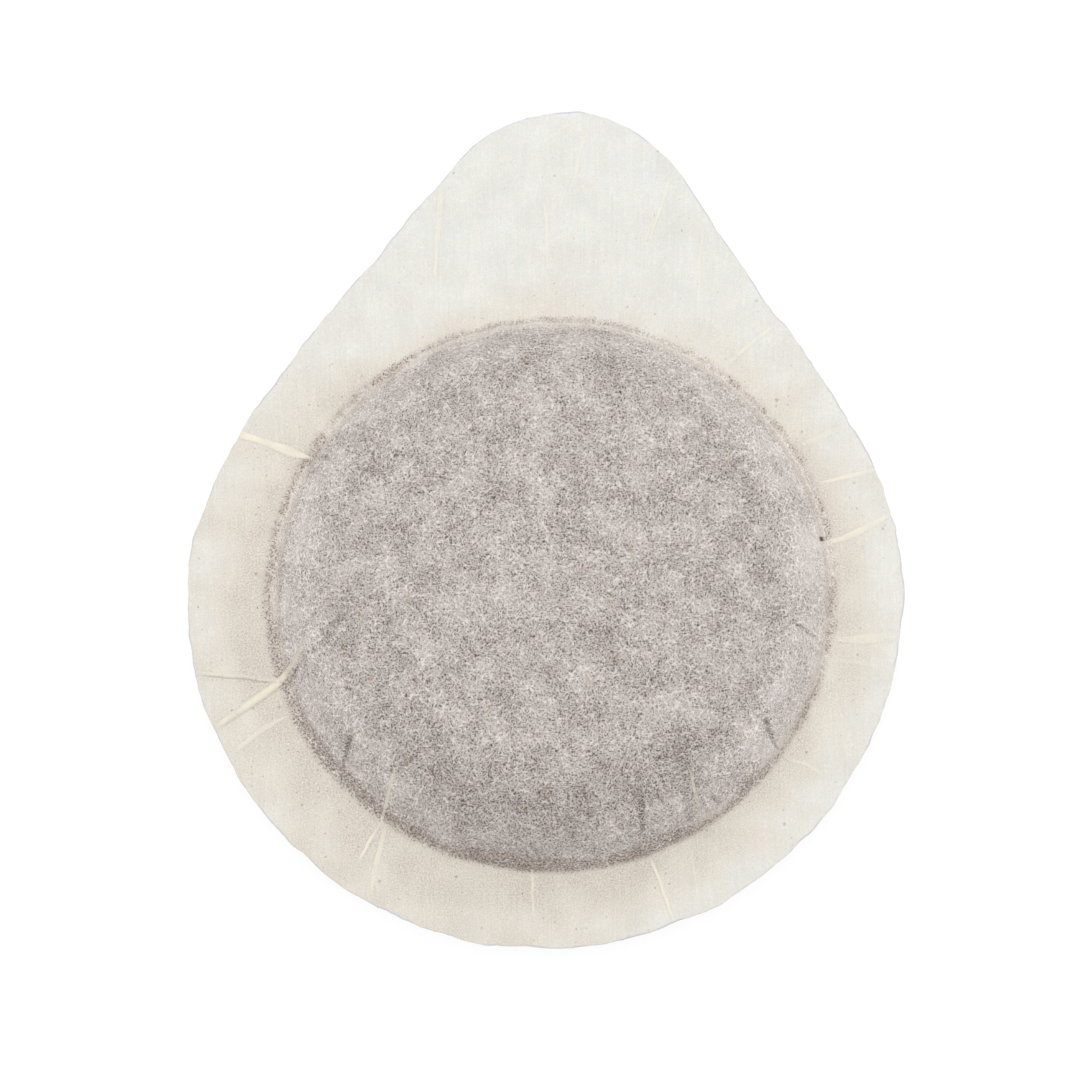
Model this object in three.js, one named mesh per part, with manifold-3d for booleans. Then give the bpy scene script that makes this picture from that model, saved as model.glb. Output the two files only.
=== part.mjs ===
// A single-serve coffee pad: a pressed cake of ground coffee sealed between two sheets of filter paper.
// Millimetres. +Z points out of the domed side and +Y towards the pull tab.
// The origin is on the cake's axis, in the plane that the pad rests on.
import * as THREE from "three";
import Module from "manifold-3d";

// Paper
const paperThickness = 0.15;
const paperColour = 0xece7dc;
const paperRoughness = 0.92;

// Cut outline, shared by both sheets: a circle drawn out into a tab with a round tip
const sheetRadius = 28.7;
const sheetCentre = new THREE.Vector2(-0.7, 0.5);
const tipRadius = 11.3;
const tipCentre = new THREE.Vector2(0.9, 28);
const leftFlank = { joinAngle: 190, tipAngle: 140, circleHandle: 13.8, tipHandle: 22.2 };
const rightFlank = { joinAngle: -6, tipAngle: 32, circleHandle: 13.5, tipHandle: 19.1 };
const edgeWave = 0.1;
const edgeWaveCounts = [17, 29];

// Seal, where the sheets lie face to face
const sealRadius = 22.4;
const sealHeight = 3;
const rimWave = 0.2;
const rimWaveCounts = [5, 8];
const rimWaveReach = 6.4;
const tabLift = 0.7;
const tabEnd = 38;

// Drawn dome, measured on the outside of the paper from the seal inwards and from its top downwards
const domeHeight = 9.9;
const footRun = 1.1;
const footRise = 1.2;
const wallLean = 1.1;
const shoulderRun = 6;
const shoulderDrop = 3;
const crownDrop = 0.9;
const gatherDepth = 0.16;
const gatherCounts = [19, 31];

// Cake, and the dish of the cover sheet round the flat that the pad rests on
const cakeClearance = 0.3;
const cakeColour = 0x4a3427;
const cakeRoughness = 0.95;
const dishWidth = 4.4;
const restRadius = sealRadius - dishWidth;

// Mesh
const columnCount = 96;
const crownRings = 2;
const shoulderRings = 4;
const wallRings = 1;
const footRings = 3;
const dishRings = 5;
const sealRings = 3;
const cakeSegments = 64;

// Tucks, where the paper is folded over itself: the angle at which each leaves the dome, how far it turns
// on its way out, how far outside the seal's inner edge it starts (below nought is up the wall), how far
// short of the cut edge it stops, and its width
const tuckHeight = 0.16;
const tuckTopShare = 0.6;
const tuckEndShare = 0.4;
const tuckShortestStep = 0.15;
const tuckRefinement = 12;
const tucks = [
  { angle: 150, turn: 2.7, start: -0.1, short: 0.3, width: 0.8 },
  { angle: 197, turn: -4.5, start: 1, short: 0.3, width: 0.35 },
  { angle: 193.5, turn: 8, start: -2.7, short: 0.3, width: 0.7 },
  { angle: 203.4, turn: 2.9, start: 1.1, short: 0.6, width: 0.4 },
  { angle: 231, turn: 2.9, start: -1.8, short: 2.7, width: 0.35 },
  { angle: 234, turn: 4.6, start: 0.5, short: 0.7, width: 0.5 },
  { angle: 265.5, turn: 0.8, start: -0.5, short: 2.6, width: 0.35 },
  { angle: 290, turn: 0.5, start: 0.2, short: 0.3, width: 0.4 },
  { angle: 305.5, turn: -2.2, start: -2.6, short: 6.1, width: 0.4 },
  { angle: -12.8, turn: 0.6, start: 0.6, short: 1.3, width: 0.35 },
  { angle: -8.6, turn: 2.1, start: 1.2, short: 0.3, width: 0.7 },
  { angle: 11.7, turn: 1.9, start: 0.2, short: 0.3, width: 0.6 },
  { angle: 23.2, turn: -1.2, start: 0.8, short: 0.3, width: 0.5 },
  { angle: 31.3, turn: -0.4, start: 0.5, short: 0.9, width: 0.5 },
  { angle: 53, turn: -2.2, start: 0.6, short: 1, width: 0.4 },
  { angle: 75, turn: -0.4, start: 6.6, short: 1.4, width: 0.5 },
  { angle: 109.5, turn: -4.2, start: 6.4, short: 1.1, width: 0.5 },
];

const toRadians = THREE.MathUtils.degToRad;

// A point on a circle in the plane of the sheets
function onCircle(centre, radius, degrees) {
  const angle = toRadians(degrees);
  return new THREE.Vector2(centre.x + radius * Math.cos(angle), centre.y + radius * Math.sin(angle));
}

// A swell of two mixed waves round the cake's axis, from -1 to 1
const swellShares = [0.6, 0.4];
const swellPhases = [0.8, 2.3];
function swell(angle, counts) {
  const waves = counts.map((count, i) => swellShares[i] * Math.sin(count * angle + swellPhases[i]));
  return waves[0] + waves[1];
}

// The cut edge of both sheets, as one point for each column of the mesh
function cutEdge() {
  const path = new THREE.Path();
  const flankPoints = ({ joinAngle, tipAngle, circleHandle, tipHandle }, side) => {
    const join = onCircle(sheetCentre, sheetRadius, joinAngle);
    const tip = onCircle(tipCentre, tipRadius, tipAngle);
    const upwards = onCircle(new THREE.Vector2(), circleHandle, joinAngle + 90 * side);
    const downwards = onCircle(new THREE.Vector2(), tipHandle, tipAngle - 90 * side);
    return [join, join.clone().add(upwards), tip.clone().add(downwards), tip];
  };
  const right = flankPoints(rightFlank, 1);
  const left = flankPoints(leftFlank, -1);
  const circleStart = toRadians(leftFlank.joinAngle);
  const circleEnd = toRadians(rightFlank.joinAngle + 360);
  path.absarc(sheetCentre.x, sheetCentre.y, sheetRadius, circleStart, circleEnd, false);
  path.bezierCurveTo(right[1].x, right[1].y, right[2].x, right[2].y, right[3].x, right[3].y);
  const tipStart = toRadians(rightFlank.tipAngle);
  const tipEnd = toRadians(leftFlank.tipAngle);
  path.absarc(tipCentre.x, tipCentre.y, tipRadius, tipStart, tipEnd, false);
  path.bezierCurveTo(left[2].x, left[2].y, left[1].x, left[1].y, left[0].x, left[0].y);
  return path
    .getSpacedPoints(columnCount)
    .slice(0, columnCount)
    .map((point) => {
      const wave = edgeWave * swell(point.angle(), edgeWaveCounts);
      return point.setLength(point.length() + wave);
    });
}

// Height of the face where the two sheets meet, over a point of the seal
function meetingHeight(x, y) {
  const out = (Math.hypot(x, y) - sealRadius) / rimWaveReach;
  const wave = rimWave * THREE.MathUtils.clamp(out, 0, 1) * swell(Math.atan2(y, x), rimWaveCounts);
  return sealHeight + wave + tabLift * THREE.MathUtils.smoothstep(y, sealRadius, tabEnd);
}

// The outside of the dome as curves of radius and height, from its axis to the seal
const sealTop = sealHeight + paperThickness;
const wallFoot = new THREE.Vector2(sealRadius - footRun, sealTop + footRise);
const wallTop = new THREE.Vector2(wallFoot.x - wallLean, domeHeight - crownDrop - shoulderDrop);
const crownEnd = new THREE.Vector2(wallTop.x - shoulderRun, domeHeight - crownDrop);
const wallSlope = (wallFoot.x - wallTop.x) / (wallTop.y - wallFoot.y);
const crownSlope = (2 * crownDrop) / crownEnd.x;
const handleReach = (shoulderRun - wallSlope * shoulderDrop) / (1 - wallSlope * crownSlope);
const shoulderHandle = new THREE.Vector2(
  crownEnd.x + handleReach,
  crownEnd.y - crownSlope * handleReach,
);
const footHandle = new THREE.Vector2(wallFoot.x + wallSlope * (wallFoot.y - sealTop), sealTop);
const domeCurves = [
  {
    curve: new THREE.QuadraticBezierCurve(
      new THREE.Vector2(0, domeHeight),
      new THREE.Vector2(crownEnd.x / 2, domeHeight),
      crownEnd,
    ),
    rings: crownRings,
    gather: () => 0,
  },
  {
    curve: new THREE.QuadraticBezierCurve(crownEnd, shoulderHandle, wallTop),
    rings: shoulderRings,
    gather: (along) => along * along,
  },
  { curve: new THREE.LineCurve(wallTop, wallFoot), rings: wallRings, gather: () => 1 },
  {
    curve: new THREE.QuadraticBezierCurve(wallFoot, footHandle, new THREE.Vector2(sealRadius, sealTop)),
    rings: footRings,
    gather: (along) => 1 - along,
  },
];

// Steps along the dome's curves, each with its place, its outward normal and its share of the gathers
function domeSteps(refine) {
  const steps = [];
  for (const { curve, rings, gather } of domeCurves) {
    const count = rings * refine;
    for (let i = 1; i <= count; i++) {
      const along = i / count;
      const tangent = curve.getTangent(along);
      steps.push({
        place: curve.getPoint(along),
        normal: new THREE.Vector2(-tangent.y, tangent.x),
        gather: gather(along),
      });
    }
  }
  return steps;
}

// A point of the dome at an angle round the axis, a depth below its outside
function domePoint({ place, normal, gather }, angle, depth) {
  const gathered = gatherDepth * gather * (0.5 + 0.5 * swell(angle, gatherCounts));
  const radius = place.x - normal.x * depth + gathered;
  return new THREE.Vector3(
    radius * Math.cos(angle),
    radius * Math.sin(angle),
    place.y - normal.y * depth,
  );
}

// Rings of points over the seal, from its inner edge out to the cut edge, a height above the meeting face
function sealRingPoints(edge, above, innerRing) {
  const rings = [];
  for (let ring = innerRing; ring <= sealRings; ring++) {
    rings.push(
      edge.map((rim) => {
        const radius = THREE.MathUtils.lerp(sealRadius, rim.length(), ring / sealRings);
        const place = rim.clone().setLength(radius);
        return new THREE.Vector3(place.x, place.y, meetingHeight(place.x, place.y) + above);
      }),
    );
  }
  return rings;
}

// A closed sheet between an upper and a lower skin; each skin is a point on the axis and rings out to the rim
function closedSheet(upper, lower) {
  const vertices = [];
  const faces = [];
  const addSkin = ({ centre, rings }) => {
    const start = vertices.length;
    vertices.push(centre, ...rings.flat());
    return (ring, column) => start + 1 + ring * columnCount + (column % columnCount);
  };
  const upperAt = addSkin(upper);
  const upperCentre = 0;
  const lowerCentre = vertices.length;
  const lowerAt = addSkin(lower);
  const addQuad = (a, b, c, d) => faces.push(a, b, c, a, c, d);
  for (let column = 0; column < columnCount; column++) {
    faces.push(upperCentre, upperAt(0, column), upperAt(0, column + 1));
    faces.push(lowerCentre, lowerAt(0, column + 1), lowerAt(0, column));
    for (let ring = 0; ring + 1 < upper.rings.length; ring++) {
      addQuad(
        upperAt(ring, column),
        upperAt(ring + 1, column),
        upperAt(ring + 1, column + 1),
        upperAt(ring, column + 1),
      );
    }
    for (let ring = 0; ring + 1 < lower.rings.length; ring++) {
      addQuad(
        lowerAt(ring, column),
        lowerAt(ring, column + 1),
        lowerAt(ring + 1, column + 1),
        lowerAt(ring + 1, column),
      );
    }
    const upperRim = upper.rings.length - 1;
    const lowerRim = lower.rings.length - 1;
    addQuad(
      upperAt(upperRim, column),
      lowerAt(lowerRim, column),
      lowerAt(lowerRim, column + 1),
      upperAt(upperRim, column + 1),
    );
  }
  return geometryOf(vertices, faces);
}

function geometryOf(vertices, faces) {
  const geometry = new THREE.BufferGeometry().setFromPoints(vertices);
  geometry.setIndex(faces);
  return geometry;
}

// One skin of the drawn sheet, a depth below its outside
function drawnSkin(edge, depth) {
  const domeRings = domeSteps(1).map((step) =>
    edge.map((rim) => domePoint(step, rim.angle(), depth)),
  );
  return {
    centre: new THREE.Vector3(0, 0, domeHeight - depth),
    rings: [...domeRings, ...sealRingPoints(edge, paperThickness - depth, 1)],
  };
}

// Radius and height of the dish that the cover sheet makes under the cake, a distance above its upper face,
// at each ring from the flat to just inside the seal
function dishSteps(above) {
  const rise = sealHeight - paperThickness;
  return Array.from({ length: dishRings }, (_, ring) => {
    const along = ring / dishRings;
    const steepest = (6 * rise) / dishWidth;
    const normal = new THREE.Vector2(-steepest * along * (1 - along), 1).normalize();
    const place = new THREE.Vector2(
      THREE.MathUtils.lerp(restRadius, sealRadius, along),
      paperThickness + rise * THREE.MathUtils.smoothstep(along, 0, 1),
    );
    return place.addScaledVector(normal, above);
  });
}

// One skin of the cover sheet, a depth below its upper face
function coverSkin(edge, depth) {
  const dish = dishSteps(-depth).map(({ x: radius, y: height }) =>
    edge.map((rim) => {
      const place = rim.clone().setLength(radius);
      return new THREE.Vector3(place.x, place.y, height);
    }),
  );
  return {
    centre: new THREE.Vector3(0, 0, paperThickness - depth),
    rings: [...dish, ...sealRingPoints(edge, -depth, 0)],
  };
}

// The outside of the drawn sheet over a point, with its normal
function drawnOutside(steps, radius, angle) {
  if (radius >= sealRadius) {
    const x = radius * Math.cos(angle);
    const y = radius * Math.sin(angle);
    return {
      point: new THREE.Vector3(x, y, meetingHeight(x, y) + paperThickness),
      normal: new THREE.Vector3(0, 0, 1),
    };
  }
  const step = steps.find(({ place }) => place.x >= radius);
  const { normal } = step;
  return {
    point: domePoint(step, angle, 0),
    normal: new THREE.Vector3(normal.x * Math.cos(angle), normal.x * Math.sin(angle), normal.y),
  };
}

// How far the cut edge is from the cake's axis at a bearing, between the two columns on its sides
function edgeRadius(edge, bearing) {
  const ray = new THREE.Vector2(Math.cos(bearing), Math.sin(bearing));
  const ahead = edge.findIndex((rim, column) => {
    const before = edge.at(column - 1);
    return before.cross(ray) >= 0 && ray.cross(rim) >= 0 && before.dot(ray) > 0;
  });
  const before = edge.at(ahead - 1);
  const side = edge[ahead].clone().sub(before);
  return before.cross(side) / ray.cross(side);
}

// Radii at which a tuck's strip bends: the rings of the paper under it, and its two ends
function tuckRadii(from, to) {
  const domeRadii = domeSteps(1).map(({ place }) => place.x);
  const sealRadii = Array.from({ length: sealRings }, (_, ring) =>
    THREE.MathUtils.lerp(sealRadius, to, ring / sealRings),
  );
  const between = [...domeRadii, ...sealRadii.slice(1)].filter(
    (radius) => radius > from + tuckShortestStep && radius < to - tuckShortestStep,
  );
  return [from, ...between, to];
}

// A tuck: a low flat-topped strip that follows the paper and is sunk halfway into it
function tuckGeometry(edge, { angle, turn, start, short, width }) {
  const fineSteps = domeSteps(tuckRefinement);
  const from = sealRadius + start;
  const to = edgeRadius(edge, toRadians(angle + turn)) - short;
  const radii = tuckRadii(from, to);
  const vertices = [];
  const faces = [];
  radii.forEach((radius, i) => {
    const bearing = toRadians(angle + (turn * (radius - from)) / (to - from));
    const { point, normal } = drawnOutside(fineSteps, radius, bearing);
    const across = new THREE.Vector3(-Math.sin(bearing), Math.cos(bearing), 0);
    const taper = i === 0 ? tuckEndShare : 1;
    const halfFoot = (width * taper) / 2;
    const halfTop = halfFoot * tuckTopShare;
    const corner = (aside, above) =>
      point.clone().addScaledVector(across, aside).addScaledVector(normal, above);
    vertices.push(
      corner(-halfFoot, -paperThickness / 2),
      corner(-halfTop, tuckHeight * taper),
      corner(halfTop, tuckHeight * taper),
      corner(halfFoot, -paperThickness / 2),
    );
  });
  const cornerCount = 4;
  const last = (radii.length - 1) * cornerCount;
  for (let section = 0; section < last; section += cornerCount) {
    for (let k = 0; k < cornerCount; k++) {
      const a = section + k;
      const b = section + ((k + 1) % cornerCount);
      faces.push(a, a + cornerCount, b + cornerCount, a, b + cornerCount, b);
    }
  }
  faces.push(0, 1, 2, 0, 2, 3, last, last + 2, last + 1, last, last + 3, last + 2);
  return geometryOf(vertices, faces);
}

const manifold = await Module();
manifold.setup();

function toSolid(geometry) {
  return new manifold.Manifold(
    new manifold.Mesh({
      numProp: 3,
      vertProperties: Float32Array.from(geometry.getAttribute("position").array),
      triVerts: Uint32Array.from(geometry.getIndex().array),
    }),
  );
}

function fromSolid(solid) {
  const mesh = solid.getMesh();
  const geometry = new THREE.BufferGeometry();
  geometry.setAttribute("position", new THREE.BufferAttribute(mesh.vertProperties, mesh.numProp));
  geometry.setIndex(new THREE.BufferAttribute(mesh.triVerts, 1));
  return geometry;
}

function drawnSheetGeometry(edge) {
  const sheet = toSolid(closedSheet(drawnSkin(edge, 0), drawnSkin(edge, paperThickness)));
  return fromSolid(tucks.reduce((joined, tuck) => joined.add(toSolid(tuckGeometry(edge, tuck))), sheet));
}

function coverSheetGeometry(edge) {
  return closedSheet(coverSkin(edge, 0), coverSkin(edge, paperThickness));
}

// The cake fills the dome and the dish, a clearance inside the paper, and lies on the cover sheet's flat
function cakeGeometry() {
  const depth = paperThickness + cakeClearance;
  const side = domeSteps(1)
    .map(({ place, normal }) => place.clone().addScaledVector(normal, -depth))
    .filter(({ x, y }) => x <= wallFoot.x && y >= wallFoot.y - depth);
  const profile = [
    new THREE.Vector2(0, paperThickness),
    new THREE.Vector2(restRadius, paperThickness),
    ...dishSteps(cakeClearance).slice(1),
    ...side.reverse(),
    new THREE.Vector2(0, domeHeight - depth),
  ];
  return new THREE.LatheGeometry(profile, cakeSegments).rotateX(Math.PI / 2);
}

function piece(name, geometry, color, roughness) {
  geometry.computeVertexNormals();
  const mesh = new THREE.Mesh(
    geometry,
    new THREE.MeshStandardMaterial({ color, roughness, metalness: 0 }),
  );
  mesh.name = name;
  return mesh;
}

const edge = cutEdge();
const pad = new THREE.Group();
pad.name = "coffee_pad";
pad.add(
  piece("drawn_sheet", drawnSheetGeometry(edge), paperColour, paperRoughness),
  piece("cover_sheet", coverSheetGeometry(edge), paperColour, paperRoughness),
  piece("coffee_cake", cakeGeometry(), cakeColour, cakeRoughness),
);

export default pad;
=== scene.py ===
"""Dresses the coffee pad: two sheets of filter paper, the coffee pressed between them, and a stage."""

import math
from types import SimpleNamespace
from typing import NamedTuple

import bpy
import numpy as np
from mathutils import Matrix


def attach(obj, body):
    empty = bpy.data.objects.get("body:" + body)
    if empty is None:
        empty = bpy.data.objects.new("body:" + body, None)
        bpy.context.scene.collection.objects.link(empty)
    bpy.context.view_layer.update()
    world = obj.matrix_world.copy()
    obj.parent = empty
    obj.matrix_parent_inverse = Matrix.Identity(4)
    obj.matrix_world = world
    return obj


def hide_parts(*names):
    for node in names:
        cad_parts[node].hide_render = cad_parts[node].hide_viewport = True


bl_info = {
    "name": "Coffee Pad",
    "version": (1, 0, 0),
    "blender": (4, 5, 0),
    "location": "View3D > Sidebar > Coffee Pad",
    "description": "Builds the paper, the pressed coffee and the stage of a single-serve coffee pad",
    "category": "Object",
}

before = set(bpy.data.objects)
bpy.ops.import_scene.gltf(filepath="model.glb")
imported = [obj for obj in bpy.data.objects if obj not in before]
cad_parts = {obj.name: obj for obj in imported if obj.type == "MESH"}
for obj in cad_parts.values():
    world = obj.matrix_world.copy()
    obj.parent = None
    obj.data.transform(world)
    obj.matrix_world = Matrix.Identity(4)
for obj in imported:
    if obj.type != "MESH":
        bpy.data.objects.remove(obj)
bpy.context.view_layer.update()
MM = 0.001


def linear(red, green, blue):
    """The linear values of a colour written as 0 to 255 screen values."""
    shares = [value / 255 for value in (red, green, blue)]
    return tuple(x / 12.92 if x <= 0.04045 else ((x + 0.055) / 1.055) ** 2.4 for x in shares)


def number(name, description, value, **kind):
    """A property that holds one value, plain or with a unit."""
    return bpy.props.FloatProperty(name=name, description=description, default=value, **kind)


def length(name, description, millimetres):
    """A property that holds one length."""
    return number(name, description, millimetres * MM, unit="LENGTH", precision=5)


def place(name, description, *millimetres):
    """A property that holds a place, in the pad's own frame."""
    default = [value * MM for value in millimetres]
    return bpy.props.FloatVectorProperty(
        name=name, description=description, default=default, size=len(default), unit="LENGTH", precision=5
    )


def area(name, description, square_millimetres):
    """A property that holds one area."""
    return number(name, description, square_millimetres * MM * MM, unit="AREA", precision=6)


def colour(name, description, *screen):
    """A property that holds one colour."""
    return bpy.props.FloatVectorProperty(
        name=name, description=description, default=linear(*screen), subtype="COLOR", min=0, max=1
    )


class PadShape(bpy.types.PropertyGroup):
    """Sizes of the pad, the same as its solids have"""

    paper_thickness: length("Paper thickness", "Thickness of one sheet of filter paper", 0.15)
    sheet_radius: length("Sheet radius", "Radius of the round part of the cut outline", 28.7)
    sheet_centre: place("Sheet centre", "Centre of the round part of the cut outline", -0.7, 0.5)
    tip_radius: length("Tip radius", "Radius of the pull tab's round tip", 11.3)
    tip_centre: place("Tip centre", "Centre of the pull tab's round tip", 0.9, 28)
    edge_wave: length("Edge wave", "How far the cut edge wanders in and out", 0.1)
    seal_radius: length("Seal radius", "Inner radius of the seal between the sheets", 22.4)
    seal_height: length("Seal height", "Height of the face where the sheets meet", 3)
    rim_wave: length("Rim wave", "How far the rim waves up and down", 0.2)
    rim_wave_reach: length("Rim wave reach", "Width over which the rim's waves grow", 6.4)
    tab_lift: length("Tab lift", "How far the tip of the tab stands up", 0.7)
    tab_end: length("Tab end", "Distance from the axis at which the tab is fully lifted", 38)
    dome_height: length("Dome height", "Height of the top of the dome", 9.9)
    foot_run: length("Foot run", "Width of the fillet at the foot of the dome", 1.1)
    foot_rise: length("Foot rise", "Height of the fillet at the foot of the dome", 1.2)
    wall_lean: length("Wall lean", "How far the wall leans in over its height", 1.1)
    shoulder_run: length("Shoulder run", "Width of the rounded shoulder", 6)
    shoulder_drop: length("Shoulder drop", "Height of the rounded shoulder", 3)
    crown_drop: length("Crown drop", "How far the top falls from its middle to the shoulder", 0.9)
    gather_depth: length("Gather depth", "Depth of the gathers in the wall", 0.16)
    cake_clearance: length("Cake clearance", "Gap between the coffee and the paper beside it", 0.3)
    dish_width: length("Dish width", "Width of the cover sheet's rise to the seal", 4.4)
    drawn_blank: place("Drawn blank", "Width and length of the drawn sheet when flat", 62.3, 72.5)
    drawn_area: area("Drawn area", "Area of the drawn sheet", 3120)
    cover_blank: place("Cover blank", "Width and length of the cover sheet when flat", 59.2, 69.4)
    cover_area: area("Cover area", "Area of the cover sheet", 2920)


class PadFinish(bpy.types.PropertyGroup):
    """Colours of the paper and of the coffee"""

    paper: colour("Paper", "Filter paper on the rim and the tab", 233, 235, 231)
    paper_warm: colour("Paper, warm", "Warm patches of the filter paper", 237, 232, 220)
    # Also the colour of the painted shade beside the dome and on the lower left of the rim.
    stain_and_shade: colour("Stain", "Paper beside the coffee, which has taken up some of its oil", 217, 209, 198)
    tuck: colour("Tuck", "Paper that lies folded over itself", 244, 238, 218)
    # Also the colour of the darkest painted shade in creases and dents.
    through_dark: colour("Over coffee, dark", "Pits between the fibres over the coffee", 94, 80, 70)
    through_mid: colour("Over coffee, middle", "Thin paper over the coffee", 190, 182, 178)
    # Also the colour that the painted light on the walls reaches.
    through_light: colour("Over coffee, light", "Loose fibres over the coffee", 253, 246, 242)
    through_tan: colour("Over coffee, tan", "Brown of the grounds between the fibres", 178, 156, 132)
    # Also the colour of the painted shade in creases.
    dust_and_shade: colour("Dust", "Grains of coffee dust along the seal", 104, 88, 78)
    speck: colour("Speck", "Specks of husk in the paper", 158, 118, 94)
    husk: colour("Husk", "Flecks of pale husk under the paper", 196, 146, 78)
    # Painted shade of the paper's cut edge.
    cut_edge_shade: colour("Cut edge", "Grey line along the cut edge", 205, 207, 210)
    grounds_dark: colour("Grounds, dark", "Dark grains of the pressed coffee", 40, 24, 17)
    grounds_light: colour("Grounds, light", "Light grains of the pressed coffee", 112, 76, 52)


class PadStage(bpy.types.PropertyGroup):
    """Camera, light and floor"""

    aim: place("Aim", "Point that the middle of the picture shows", -1.08, 4.5, 3.15)
    distance: length("Distance", "Distance from the camera to its aim", 420)
    near_clip: length("Near clip", "Nearest distance that the camera shows", 10)
    tilt: number("Tilt", "Lean of the view from straight above", math.radians(8), subtype="ANGLE")
    lens: number("Lens", "Focal length in millimetres", 174.6)
    fill: number("Fill", "Strength of the even light", 0.62)
    overhead: number("Overhead", "Power of the soft lamp above", 1.42, unit="POWER")
    overhead_place: place("Overhead place", "Place of the soft lamp above", 0, 60, 600)
    key: number("Key", "Power of the soft lamp beyond the tab", 0.28, unit="POWER")
    key_place: place("Key place", "Place of the soft lamp beyond the tab", 0, 370, 350)
    lamp_size: length("Lamp size", "Side of the soft lamps", 300)
    floor: colour("Floor", "Colour of the floor", 90, 90, 90)
    floor_gap: length("Floor gap", "How far the floor lies below the flat that the pad rests on", 0.02)
    floor_size: length("Floor size", "Side of the floor", 8000)
    floor_lift: number("Floor lift", "Extra brightness of the floor as the camera sees it", 0.93)


class Flank(NamedTuple):
    """One side of the tab: the bearings at which it leaves the circle and meets the tip, in degrees, the
    reach of its two bends in mm, and which way it runs."""

    join: float
    tip: float
    circle_handle: float
    tip_handle: float
    side: int


RIGHT_FLANK = Flank(join=-6, tip=32, circle_handle=13.5, tip_handle=19.1, side=1)
LEFT_FLANK = Flank(join=190, tip=140, circle_handle=13.8, tip_handle=22.2, side=-1)


class Crease(NamedTuple):
    """A fold in the drawn sheet: its course as radii in mm and bearings in degrees, its widths along it and
    its height in mm, how pale its doubled paper is, how dark the painted shade in it is, and how far in mm
    the paper on its clockwise side drops."""

    radii: tuple
    bearings: tuple
    widths: tuple
    height: float
    pale: float = 0.0
    dark: float = 0.0
    drop: float = 0.0


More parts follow.
